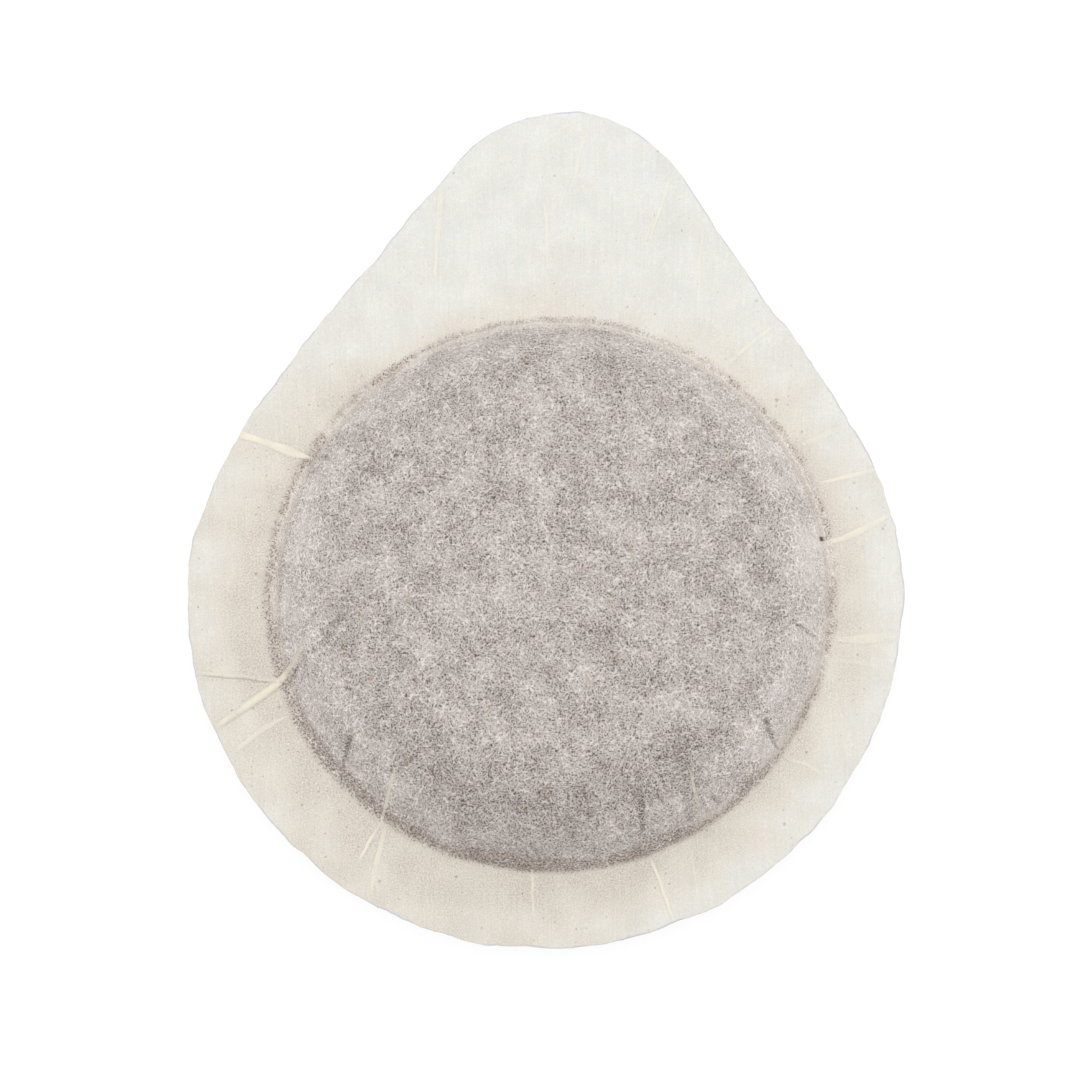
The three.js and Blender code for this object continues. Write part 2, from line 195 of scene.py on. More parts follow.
CREASES = (
    # Upper left
    Crease(
        (22.3, 24.2, 26.5, 28.4),
        (150.3, 151.1, 151.9, 152.5),
        (0.2, 0.75, 0.45, 0.6),
        0.05,
        pale=1.0,
        drop=0.03,
    ),
    Crease((20.9, 22.2), (148.6, 150.0), (0.4, 0.6), -0.12, dark=0.4),
    # Left
    Crease((23.5, 25.7, 29.2), (196.9, 194.5, 192.1), (0.3, 0.3, 0.3), 0.06, pale=0.35, drop=-0.1),
    Crease((23.3, 25.7, 28.8), (197.5, 195.1, 192.8), (0.2, 0.18, 0.16), 0.0, dark=0.55),
    Crease(
        (20.0, 20.9, 22.0, 23.3, 25.6, 28.9),
        (191.6, 194.0, 196.1, 198.0, 199.7, 201.4),
        (0.3, 0.42, 0.55, 0.68, 0.6, 0.45),
        0.22,
        pale=0.75,
    ),
    Crease((20.2, 21.2, 22.6), (193.5, 196.3, 199.0), (0.3, 0.3, 0.25), -0.06, dark=0.5),
    Crease((18.0, 19.4, 20.6), (191.8, 193.6, 195.6), (0.9, 0.7, 0.4), -0.1, dark=0.4),
    Crease((16.6, 18.0, 19.4), (187.5, 190.0, 192.0), (0.6, 0.8, 0.5), -0.08, dark=0.3),
    Crease((23.5, 25.5, 28.2), (204.4, 204.8, 206.1), (0.25, 0.4, 0.35), 0.03, pale=0.6),
    # Lower left
    Crease((19.6, 21.9), (215.5, 219.6), (0.5, 0.3), -0.18, dark=0.65),
    Crease((20.4, 22.3), (219.0, 221.6), (0.24, 0.24), 0.05, pale=0.5),
    Crease((18.9, 21.6, 22.7, 26.3), (228.9, 231.8, 232.8, 234.0), (0.3, 0.32, 0.26, 0.22), 0.08, pale=1.0),
    Crease((22.9, 24.7, 27.9), (234.2, 235.9, 238.6), (0.3, 0.45, 0.35), 0.03, pale=0.7),
    # Below
    Crease((21.8, 25.6), (265.6, 266.3), (0.24, 0.2), 0.04, pale=1.0),
    Crease((22.5, 27.8), (290.2, 290.1), (0.24, 0.22), 0.05, pale=1.0, drop=0.08),
    Crease((23.2, 27.8), (298.1, 294.6), (0.2, 0.2), 0.02, pale=0.35),
    # Lower right
    Crease((19.5, 20.3, 21.9), (329.0, 327.2, 325.0), (0.9, 0.6, 0.2), -0.2, dark=0.6),
    Crease((21.9, 22.9, 24.3, 25.9), (324.9, 325.0, 326.1, 326.2), (0.2, 0.26, 0.3, 0.25), 0.05, pale=0.45),
    Crease((17.9, 19.2, 21.5), (306.8, 305.1, 303.0), (0.2, 0.28, 0.26), 0.1, pale=0.65),
    Crease((18.8, 20.4, 21.6), (303.6, 301.8, 300.9), (0.9, 0.9, 0.9), -0.12, dark=0.25),
    Crease((20.5, 21.6), (307.6, 308.1), (0.4, 0.3), -0.14, dark=0.55),
    Crease((17.8, 19.3, 20.8), (292.8, 291.1, 290.1), (0.6, 0.5, 0.35), -0.06, dark=0.4),
    # Right
    Crease((19.0, 21.7), (-7.2, -10.4), (0.45, 0.3), -0.1, dark=0.6),
    Crease((21.5, 22.5), (11.9, 12.0), (0.4, 0.45), -0.06, dark=0.95),
    Crease((22.6, 24.2, 25.7, 27.9), (11.0, 11.5, 12.4, 13.8), (0.3, 0.55, 0.5, 0.3), 0.03, pale=0.9),
    Crease((23.2, 25.6, 27.9), (23.2, 22.2, 21.6), (0.2, 0.32, 0.3), 0.03, pale=0.7, drop=-0.05),
    Crease((23.4, 26.8), (31.5, 30.5), (0.35, 0.45), 0.02, pale=0.45),
    Crease((22.8, 25.1, 27.9), (-8.9, -8.0, -6.7), (0.3, 0.8, 0.5), 0.03, pale=0.5),
    Crease((23.0, 26.6), (-12.9, -12.3), (0.3, 0.3), 0.02, pale=0.35),
    # Tab
    Crease((23.2, 28.3), (53.3, 51.1), (0.3, 0.35), 0.04, pale=0.5),
    Crease((29.3, 32.2, 35.4), (75.0, 74.7, 74.4), (0.16, 0.2, 0.35), 0.03, pale=0.65),
    Crease((29.4, 32.0), (75.6, 75.2), (0.16, 0.16), 0.03, pale=0.6),
    Crease((26.4, 29.2, 32.6), (63.8, 66.2, 68.3), (0.2, 0.25, 0.3), 0.03, pale=0.5),
    Crease((33.5, 35.5, 38.0), (87.1, 86.8, 86.0), (0.35, 0.25, 0.35), 0.03, pale=0.55),
    Crease((26.4, 30.3, 32.6), (91.0, 91.1, 91.5), (0.16, 0.25, 0.16), 0.03, pale=0.5),
    Crease((27.6, 31.3, 34.4), (110.2, 107.3, 105.2), (0.25, 0.45, 0.5), 0.04, pale=0.75),
)

# How a crease fades: across it, in half widths, and at its two ends and beside it, in mm
STRIP_FULL = 0.65
STRIP_END = 1.25
FAR_ASIDE = 4.0
CREASE_START = np.array((-0.2, 0.5))
CREASE_STOP = np.array((-0.6, 0.3))
DROP_REACH = 0.7

# Waves round the axis, as pairs of counts
EDGE_WAVES = (17, 29)
RIM_WAVES = (5, 8)
GATHERS = (19, 31)

# How finely the pieces are divided
OUTLINE_POINTS = 300
DRAWN_COLUMNS = 900
COVER_COLUMNS = 480
CAKE_COLUMNS = 240
CROWN_RINGS = 22
SHOULDER_RINGS = 14
WALL_RINGS = 10
FOOT_RINGS = 12
RIM_RINGS = 20
COVER_RIM_RINGS = 14
FLAT_RINGS = 12
DISH_RINGS = 17
INSIDE_FLAT_STEP = 5
INSIDE_BEND_STEP = 2

# How the drawn sheet's columns crowd round its creases: how many more there are, how far beside a crease
# in radians, and the radius in mm at which its width is taken
FINE_BEARINGS = 7201
CREASE_CROWDING = 1.2
CROWD_MARGIN = math.radians(0.8)
CROWD_FADE = math.radians(1)
CROWD_RADIUS = 22


def smoothstep(low, high, value):
    """A soft step from 0 at low to 1 at high."""
    share = np.clip((value - low) / (high - low), 0, 1)
    return share * share * (3 - 2 * share)


def swell(bearing, counts):
    """Two mixed waves round the cake's axis, from -1 to 1."""
    shares = (0.6, 0.4)
    phases = (0.8, 2.3)
    return sum(s * np.sin(count * bearing + p) for count, s, p in zip(counts, shares, phases))


def clouds(x, y, size, seed):
    """Smooth random hills over a plane, from about -1 to 1 and about as wide as size."""
    cells = 64
    lattice = np.random.default_rng(seed).uniform(-1, 1, (cells, cells))
    i = np.floor(x / size).astype(int)
    j = np.floor(y / size).astype(int)
    s = smoothstep(0, 1, x / size - i)
    t = smoothstep(0, 1, y / size - j)

    def corner(a, b):
        return lattice[(i + a) % cells, (j + b) % cells]

    near = corner(0, 0) * (1 - s) + corner(1, 0) * s
    far = corner(0, 1) * (1 - s) + corner(1, 1) * s
    return near * (1 - t) + far * t


class Hills(NamedTuple):
    """Random hills over the paper: their height, their width in mm, and the seed that sets them out."""

    height: float
    width: float
    seed: int

    def at(self, radius, bearing):
        """Heights at some places."""
        x, y = radius * np.cos(bearing), radius * np.sin(bearing)
        return self.height * clouds(x, y, self.width * MM, self.seed)


# Forms in mm
EDGE_TEARS = (Hills(0.07, 1.1, 3), Hills(0.04, 0.5, 4))
DOME_SWELLS = (Hills(0.04, 4.5, 11), Hills(0.02, 1.5, 12))
SHOULDER_DENTS = Hills(0.12, 3.2, 13)
RIM_COCKLES = Hills(0.02, 2.6, 14)
FOOT_RIDGE = 0.05
CREASE_WOBBLE = Hills(0.05, 0.7, 21)
CAKE_LUMPS = Hills(0.05, 0.9, 31)

# How far the strengths of forms and marks wander
RIDGE_WANDER = Hills(0.4, 3, 15)
LOW_SIDE_WANDER = Hills(0.12, 6, 16)
SLACK_AND_LIGHT_WANDER = Hills(0.3, 4, 17)
STAIN_AND_SHADE_WANDER = Hills(0.35, 2, 18)
DUST_AND_SHADE_WANDER = Hills(0.3, 3, 19)
SEAM_WANDER = Hills(0.12, 1.3, 20)
CREASE_WEAR = Hills(0.5, 1.1, 22)
COVER_STAIN_WANDER = Hills(0.25, 5, 28)
COVER_DUST = 0.2


def bezier(controls, count):
    """Points along the Bezier curve of some control points."""
    along = np.linspace(0, 1, count)[:, None]
    points = [np.asarray(control, float) for control in controls]
    while len(points) > 1:
        points = [(1 - along) * a + along * b for a, b in zip(points, points[1:])]
    return points[0]


def on_circle(centre, radius, degrees):
    """Points of a circle at one bearing or several."""
    angle = np.radians(degrees)
    return np.stack((centre[0] + radius * np.cos(angle), centre[1] + radius * np.sin(angle)), axis=-1)


def cut_outline(shape):
    """Points round the outline of both sheets: the circle, the tip and the two flanks between them."""

    def flank_points(flank):
        start = on_circle(shape.sheet_centre, shape.sheet_radius, flank.join)
        end = on_circle(shape.tip_centre, shape.tip_radius, flank.tip)
        up = on_circle((0, 0), flank.circle_handle * MM, flank.join + 90 * flank.side)
        down = on_circle((0, 0), flank.tip_handle * MM, flank.tip - 90 * flank.side)
        return bezier((start, start + up, end + down, end), OUTLINE_POINTS)

    round_circle = np.linspace(LEFT_FLANK.join, RIGHT_FLANK.join + 360, 2 * OUTLINE_POINTS)
    circle = on_circle(shape.sheet_centre, shape.sheet_radius, round_circle)
    round_tip = np.linspace(RIGHT_FLANK.tip, LEFT_FLANK.tip, OUTLINE_POINTS)
    tip = on_circle(shape.tip_centre, shape.tip_radius, round_tip)
    return np.concatenate((circle, flank_points(RIGHT_FLANK), tip, flank_points(LEFT_FLANK)[::-1]))


def edge_radius(shape, bearing):
    """How far the cut edge is from the axis at each bearing, with its wander and its torn fibres."""
    outline = cut_outline(shape)
    angle = np.arctan2(outline[:, 1], outline[:, 0])
    plain = np.interp(bearing, angle, np.hypot(outline[:, 0], outline[:, 1]), period=2 * np.pi)
    wander = shape.edge_wave * swell(bearing, EDGE_WAVES)
    return plain + wander + sum(hills.at(plain, bearing) for hills in EDGE_TEARS) * MM


def meeting_height(shape, radius, bearing):
    """Height of the face where the two sheets meet, over the seal."""
    out = np.clip((radius - shape.seal_radius) / shape.rim_wave_reach, 0, 1)
    lift = smoothstep(shape.seal_radius, shape.tab_end, radius * np.sin(bearing))
    return shape.seal_height + shape.rim_wave * out * swell(bearing, RIM_WAVES) + shape.tab_lift * lift


class Profile(NamedTuple):
    """The outside of the dome, ring by ring from its axis to the seal."""

    radius: np.ndarray
    height: np.ndarray
    normal: np.ndarray
    gather: np.ndarray
    along: np.ndarray


def dome_profile(shape):
    """The dome's rings: a crown, a rounded shoulder, a leaning wall and a filleted foot."""
    seal_top = shape.seal_height + shape.paper_thickness
    crown_height = shape.dome_height - shape.crown_drop
    foot = np.array((shape.seal_radius - shape.foot_run, seal_top + shape.foot_rise))
    top = np.array((foot[0] - shape.wall_lean, crown_height - shape.shoulder_drop))
    crown = np.array((top[0] - shape.shoulder_run, crown_height))
    slope = shape.wall_lean / (top[1] - foot[1])
    crown_slope = 2 * shape.crown_drop / crown[0]
    reach = (shape.shoulder_run - slope * shape.shoulder_drop) / (1 - slope * crown_slope)
    shoulder_bend = (crown[0] + reach, crown[1] - crown_slope * reach)
    foot_bend = (foot[0] + slope * shape.foot_rise, seal_top)
    middle = (0, shape.dome_height)
    crown_bend = (crown[0] / 2, shape.dome_height)
    # Each run's points, and how deep the gathers are along it
    runs = (
        (bezier((middle, crown_bend, crown), CROWN_RINGS + 1), lambda t: 0 * t),
        (bezier((crown, shoulder_bend, top), SHOULDER_RINGS + 1), lambda t: t * t),
        (bezier((top, foot), WALL_RINGS + 1), lambda t: 0 * t + 1),
        (bezier((foot, foot_bend, (shape.seal_radius, seal_top)), FOOT_RINGS + 1), lambda t: 1 - t),
    )
    points = np.concatenate([run[:-1] for run, _ in runs] + [runs[-1][0][-1:]])
    gather = np.concatenate([share(np.linspace(0, 1, len(run)))[:-1] for run, share in runs] + [[0.0]])
    step = np.gradient(points, axis=0)
    step /= np.linalg.norm(step, axis=1)[:, None]
    along = np.concatenate(([0], np.cumsum(np.linalg.norm(np.diff(points, axis=0), axis=1))))
    normal = np.column_stack((-step[:, 1], step[:, 0]))
    keep = slice(1, None)
    return Profile(points[keep, 0], points[keep, 1], normal[keep], gather[keep], along[keep])


def turn_between(start, end):
    """The turn from one bearing to another, less than half round either way."""
    return (end - start + np.pi) % (2 * np.pi) - np.pi


def column_bearings():
    """Bearings of the drawn sheet's columns, closer together where creases run."""
    fine = np.linspace(-np.pi, np.pi, FINE_BEARINGS)
    density = np.ones_like(fine)
    for crease in CREASES:
        first, last = np.radians((min(crease.bearings), max(crease.bearings)))
        half = (last - first) / 2 + max(crease.widths) / 2 / CROWD_RADIUS + CROWD_MARGIN
        apart = np.abs(turn_between((first + last) / 2, fine))
        crowding = CREASE_CROWDING * (1 - smoothstep(half, half + CROWD_FADE, apart))
        density = np.maximum(density, 1 + crowding)
    total = np.concatenate(([0], np.cumsum((density[1:] + density[:-1]) / 2)))
    share = np.linspace(0, 1, DRAWN_COLUMNS, endpoint=False)
    return np.interp(share * total[-1], total, fine)


def crease_forms(radius, bearing):
    """What the creases do to each point of the drawn sheet: its relief, and for pale lines and for dark
    lines of painted shade how far it lies aside of the nearest one, in half widths, and how strong that one
    is there."""
    relief = np.zeros_like(radius)
    lines = {}
    for kind in ("pale", "dark"):
        lines[kind] = np.zeros_like(radius)
        lines[kind + "_aside"] = np.full_like(radius, FAR_ASIDE)
    wobble = CREASE_WOBBLE.at(radius, bearing) * MM
    worn = np.clip(0.8 + CREASE_WEAR.at(radius, bearing), 0, 1)
    for index, crease in enumerate(CREASES):
        radii = np.array(crease.radii) * MM
        course = np.interp(radius, radii, np.radians(crease.bearings))
        half_width = np.interp(radius, radii, crease.widths) / 2 * MM
        aside = (turn_between(course, bearing) * radius + wobble) / half_width
        away = np.abs(aside)
        fade = smoothstep(*(radii[0] + CREASE_START * MM), radius)
        fade = fade * (1 - smoothstep(*(radii[-1] + CREASE_STOP * MM), radius))
        strip = (1 - smoothstep(STRIP_FULL, STRIP_END, away)) * fade
        relief += crease.height * MM * strip
        beside = np.where(aside < 0, np.exp(aside * half_width / (DROP_REACH * MM)), 0) * (1 - strip)
        relief -= crease.drop * MM * beside * fade
        fade = fade * (1 - smoothstep(0.6 * FAR_ASIDE, 0.95 * FAR_ASIDE, away))
        # Every second crease is measured the other way round, so no false line lies between close ones.
        way = 1 - 2 * (index % 2)
        for kind, strength in (("pale", crease.pale * worn * fade), ("dark", crease.dark * fade)):
            nearest = (away < np.abs(lines[kind + "_aside"])) & (strength > 0)
            lines[kind] = np.where(nearest, strength, lines[kind])
            lines[kind + "_aside"] = np.where(nearest, way * aside, lines[kind + "_aside"])
    return relief, lines


class Skin(NamedTuple):
    """One face of a piece: rings of points round the axis, and what the finish reads at each of them."""

    rings: np.ndarray
    traits: dict


def ring_points(radius, bearing, height):
    """Points of some rings, from radii, bearings and heights."""
    return np.stack((radius * np.cos(bearing), radius * np.sin(bearing), height + 0 * radius), axis=-1)


def flat_places(along, bearing):
    """Where the points lie when the paper is rolled out flat, in millimetres."""
    return ring_points(along / MM, bearing, 0)


def listed(*skins):
    """Values of some skins as one list: for each its middle, which has the mean of its innermost ring, and
    then its rings."""
    parts = []
    for values in skins:
        parts += [values[:1].mean(axis=1), values.reshape((-1,) + values.shape[2:])]
    return np.concatenate(parts)


def skin_faces(start, rings, columns, flipped):
    """Quads between the rings of one skin, whose points begin at start, and triangles round its middle."""
    column = np.arange(columns)
    ahead = (column + 1) % columns
    first = start + 1
    inner = first + columns * np.arange(rings - 1)[:, None]
    outer = inner + columns
    quads = np.stack((inner + column, outer + column, outer + ahead, inner + ahead), axis=-1).reshape(-1, 4)
    fan = np.column_stack((np.full(columns, start), first + column, first + ahead))
    if flipped:
        quads, fan = quads[:, ::-1], fan[:, ::-1]
    return quads.tolist() + fan.tolist()


def write_traits(mesh, upper, lower):
    """Writes what the finish reads at each point of two skins into their mesh."""
    for trait in upper.traits:
        values = listed(upper.traits[trait], lower.traits[trait])
        wide = values.ndim == 2
        layer = mesh.attributes.new(trait, "FLOAT_VECTOR" if wide else "FLOAT", "POINT")
        layer.data.foreach_set("vector" if wide else "value", values.ravel().astype(np.float32))


MAP_MARGIN = 0.005
HIDDEN_SIZE = 0.1


def write_bake_map(mesh, corners, flat, shown, hidden, columns):
    """Writes the map that the finish is baked to: the skin that shows is laid out large, and the hidden one
    small in a corner. Both skins are given as the first and last of their points."""
    spread = (flat - flat.min(axis=0)) / (np.ptp(flat, axis=0).max() * (1 + 2 * MAP_MARGIN))
    on_map = MAP_MARGIN + spread
    tucked_away = slice(*hidden)
    on_map[tucked_away] = MAP_MARGIN + HIDDEN_SIZE * spread[tucked_away]
    # The faces of the cut edge come last, and take the place of the shown skin's outermost ring.
    edge = corners[-4 * columns :]
    edge[(edge >= hidden[1] - columns) & (edge < hidden[1])] += shown[1] - hidden[1]
    layer = mesh.uv_layers.new(name="OFBake")
    layer.data.foreach_set("uv", on_map[corners].ravel().astype(np.float32))


SHARP_ANGLE = math.radians(55)


def closed_piece(name, upper, lower, material, upper_shows=True):
    """A closed piece between two skins, of which one shows."""
    columns = upper.rings.shape[1]
    points = listed(upper.rings, lower.rings)
    upper_end = len(listed(upper.rings))
    upper_rim = upper_end - columns
    lower_rim = len(points) - columns
    column = np.arange(columns)
    ahead = (column + 1) % columns
    rim = np.column_stack((upper_rim + column, lower_rim + column, lower_rim + ahead, upper_rim + ahead))
    faces = skin_faces(0, len(upper.rings), columns, False)
    faces += skin_faces(upper_end, len(lower.rings), columns, True)
    faces += rim.tolist()
    mesh = bpy.data.meshes.new(name)
    mesh.from_pydata(points.tolist(), [], faces)
    write_traits(mesh, upper, lower)
    corners = np.array([index for face in faces for index in face])
    flat = listed(upper.traits["flat"], lower.traits["flat"])[:, :2]
    shown, hidden = (0, upper_end), (upper_end, len(points))
    if not upper_shows:
        shown, hidden = hidden, shown
    write_bake_map(mesh, corners, flat, shown, hidden, columns)
    mesh.shade_smooth()
    mesh.set_sharp_from_angle(angle=SHARP_ANGLE)
    mesh.materials.append(material)
    piece = bpy.data.objects.new(name, mesh)
    bpy.context.scene.collection.objects.link(piece)
    return piece


class Wiring:
    """Adds nodes to a shader tree. An input is a number, a colour or another node's output."""

    def __init__(self, tree):
        self.tree = tree

    def add(self, kind, inputs=None, output=0, **settings):
        """One node, with its settings and inputs; gives back one of its outputs."""
        made = self.tree.nodes.new(kind)
        for name, value in settings.items():
            setattr(made, name, value)
        for key, value in (inputs or {}).items():
            self.feed(made.inputs[key], value)
        return made.outputs[output]

    def feed(self, socket, value):
        """Sets or links one input."""
        if isinstance(value, bpy.types.NodeSocket):
            self.tree.links.new(value, socket)
        elif socket.type == "RGBA" and len(value) == 3:
            socket.default_value = (*value, 1)
        else:
            socket.default_value = value

    def group(self, tree, inputs):
        """A shared effect, with its own values."""
        return self.add("ShaderNodeGroup", inputs, node_tree=tree)

    def trait(self, name, output="Fac"):
        """A value that the mesh holds at each point."""
        return self.add("ShaderNodeAttribute", output=output, attribute_name=name)

    def maths(self, operation, first, second=0.0):
        """A sum, product or other plain operation."""
        return self.add("ShaderNodeMath", {0: first, 1: second}, operation=operation)

    def vector(self, operation, first, second, third=(0, 0, 0)):
        """A plain operation on vectors."""
        return self.add("ShaderNodeVectorMath", {0: first, 1: second, 2: third}, operation=operation)

    def times(self, product, *others):
        """The product of some values."""
        for value in others:
            product = self.maths("MULTIPLY", product, value)
        return product

    def scaled(self, value, factor, plus=0.0):
        """A value times a factor, plus another value."""
        return self.add("ShaderNodeMath", {0: value, 1: factor, 2: plus}, operation="MULTIPLY_ADD")

    def weighted(self, total, *terms):
        """A starting value plus some values, each times its weight."""
        for value, weight in terms:
            total = self.scaled(value, weight, total)
        return total

    def without(self, mask, share=1.0):
        """What is left of 1 where a mask takes a share away."""
        return self.scaled(mask, -share, 1.0)

    def centred(self, noise):
        """A noise moved to lie round nought."""
        return self.scaled(noise, 1.0, -0.5)

    def distance(self, value, middle=0.0):
        """How far a value is from a middle one."""
        return self.maths("ABSOLUTE", self.scaled(value, 1.0, -middle))

    def noise(self, vector, size, detail=1.0, roughness=0.5, output=0):
        """Soft random clouds about as wide as size, in millimetres of flat paper."""
        inputs = {"Vector": vector, "Scale": 1 / size, "Detail": detail, "Roughness": roughness}
        return self.add("ShaderNodeTexNoise", inputs, output, noise_dimensions="2D")

    def remap(self, value, low, high, to_low=0.0, to_high=1.0, kind="SMOOTHSTEP"):
        """A step, soft unless said otherwise, from one range to another."""
        inputs = {"Value": value, "From Min": low, "From Max": high, "To Min": to_low, "To Max": to_high}
        return self.add("ShaderNodeMapRange", inputs, interpolation_type=kind)

    def mix(self, factor, first, second, blend="MIX"):
        """Two colours mixed."""
        inputs = {0: factor, 6: first, 7: second}
        return self.add("ShaderNodeMix", inputs, 2, data_type="RGBA", blend_type=blend)

    def layered(self, shown, *layers):
        """A colour with others laid over it one by one, each by its mask."""
        for mask, tint in layers:
            shown = self.mix(mask, shown, tint)
        return shown


def new_group(name, inputs, output):
    """An empty shared effect, with its wiring and its two ends."""
    tree = bpy.data.node_groups.new(name, "ShaderNodeTree")
    for socket, kind in inputs.items():
        tree.interface.new_socket(name=socket, in_out="INPUT", socket_type=kind)
    tree.interface.new_socket(name=output, in_out="OUTPUT", socket_type="NodeSocketFloat")
    given = tree.nodes.new("NodeGroupInput").outputs
    result = tree.nodes.new("NodeGroupOutput").inputs
    return tree, Wiring(tree), given, result


def shared_group(name, build):
    """A shared effect, built when it is first asked for."""
    return bpy.data.node_groups.get(name) or build(name)


FIBRE_LAYERS = 3
FIBRE_STRETCH = 0.35
LAYER_PIVOT = (7.3, 3.1, 0)
LAYER_SHIFT = np.array((11.7, 5.3, 0))


def felted_fibres(name):
    """Thin curled hairs lying over each other every way: Curl is how wide their bends are, in millimetres,
    and Width how thick the hairs are against that."""
    inputs = {"Flat": "NodeSocketVector", "Curl": "NodeSocketFloat", "Width": "NodeSocketFloat"}
    tree, wire, given, result = new_group(name, inputs, "Fibres")
    scale = wire.maths("DIVIDE", 1.0, given["Curl"])
    top = None
    for layer in range(FIBRE_LAYERS):
        turned = wire.add(
            "ShaderNodeVectorRotate",
            {"Vector": given["Flat"], "Center": LAYER_PIVOT, "Angle": math.pi * layer / FIBRE_LAYERS},
            rotation_type="Z_AXIS",
        )
        moved = wire.vector("MULTIPLY_ADD", turned, (FIBRE_STRETCH, 1, 1), layer * LAYER_SHIFT)
        noise = {"Vector": moved, "Scale": scale, "Detail": 0.0}
        fields = wire.add("ShaderNodeTexNoise", noise, "Color", noise_dimensions="2D")
        first, second, shown = wire.add("ShaderNodeSeparateColor", {0: fields}).node.outputs
        # Where one set of hairs ends, the other begins.
        for field, none, all_shown in ((first, 0.40, 0.52), (second, 0.60, 0.48)):
            hair = wire.remap(wire.distance(field, 0.5), given["Width"], 0.0)
            hair = wire.times(hair, wire.remap(shown, none, all_shown))
            top = hair if top is None else wire.maths("MAXIMUM", top, hair)
    wire.feed(result["Fibres"], top)
    return tree


SPECK_WOBBLE = 0.2
SPECK_WOBBLE_SIZE = 0.12
SPECK_BORDER = 0.04
SMALLEST_SPECK = 0.35


def scattered_specks(name):
    """Small ragged specks at random: Cell is the width of the patch that may hold one, Share how many of
    the patches do, and Dot the largest radius of a speck."""
    inputs = {socket: "NodeSocketFloat" for socket in ("Cell", "Share", "Dot")}
    tree, wire, given, result = new_group(name, {"Flat": "NodeSocketVector", **inputs}, "Specks")
    wobble = wire.noise(given["Flat"], SPECK_WOBBLE_SIZE, output="Color")
    bent = wire.vector("MULTIPLY_ADD", wobble, (SPECK_WOBBLE, SPECK_WOBBLE, 0), given["Flat"])
    scale = wire.maths("DIVIDE", 1.0, given["Cell"])
    cells = wire.add("ShaderNodeTexVoronoi", {"Vector": bent, "Scale": scale}, voronoi_dimensions="2D").node
    chance = wire.add("ShaderNodeSeparateColor", {0: cells.outputs["Color"]}).node.outputs
    present = wire.maths("LESS_THAN", chance[0], given["Share"])
    reach = wire.times(given["Dot"], wire.scaled(chance[1], 1 - SMALLEST_SPECK, SMALLEST_SPECK))
    away = wire.times(cells.outputs["Distance"], given["Cell"])
    dot = wire.remap(wire.maths("SUBTRACT", reach, away), 0.0, SPECK_BORDER)
    wire.feed(result["Specks"], wire.times(dot, present))
    return tree


def specks(wire, flat, cell, share, dot):
    """Mask of specks of one kind."""
    tree = shared_group("Scattered specks", scattered_specks)
    return wire.group(tree, {"Flat": flat, "Cell": cell, "Share": share, "Dot": dot})


def new_material(name, roughness):
    """A material with its wiring and its shader, which is matt."""
    material = bpy.data.materials.new(name)
    material.use_nodes = True
    shader = material.node_tree.nodes["Principled BSDF"]
    shader.inputs["Roughness"].default_value = roughness
    shader.inputs["Specular IOR Level"].default_value = 0.15
    return material, Wiring(material.node_tree), shader


def crease_lines(wire):
    """Masks of the creases: the pale strips of doubled paper, and the painted shade in and beside them."""
    pale = wire.trait("pale")
    from_pale = wire.distance(wire.trait("pale_aside"))
    tuck = wire.times(pale, wire.remap(from_pale, STRIP_END, STRIP_FULL))
    # A thin line of painted shade along each edge of a pale strip.
    outline = wire.times(pale, wire.remap(wire.distance(from_pale, 1.3), 0.4, 0.05, 0.0, 0.15))
    from_dark = wire.distance(wire.trait("dark_aside"))
    shade = wire.times(wire.trait("dark"), wire.remap(from_dark, STRIP_END, STRIP_FULL))
    return tuck, wire.maths("MAXIMUM", shade, outline)


def paper_fields(wire):
    """What the parts of the paper's finish share: its textures, and what the mesh says of each point."""
    fields = {name: wire.trait(name) for name in ("seam", "slack", "dense", "dust_and_shade", "stain_and_shade")}
    flat = wire.trait("flat", "Vector")
    grain = wire.noise(flat, size=0.13)
    tuck, shade = crease_lines(wire)
    fibres_tree = shared_group("Felted fibres", felted_fibres)
    return SimpleNamespace(
        flat=flat,
        fibres=wire.group(fibres_tree, {"Flat": flat, "Curl": 0.34, "Width": 0.05}),
        grain=grain,
        tints=wire.noise(flat, size=0.8, detail=3, roughness=0.65),
        blotches=wire.noise(flat, size=2.8, detail=4, roughness=0.55),
        ragged_seam=wire.scaled(wire.centred(grain), 1.1, fields["seam"]),
        tuck=tuck,
        shade=shade,
        **fields,
    )


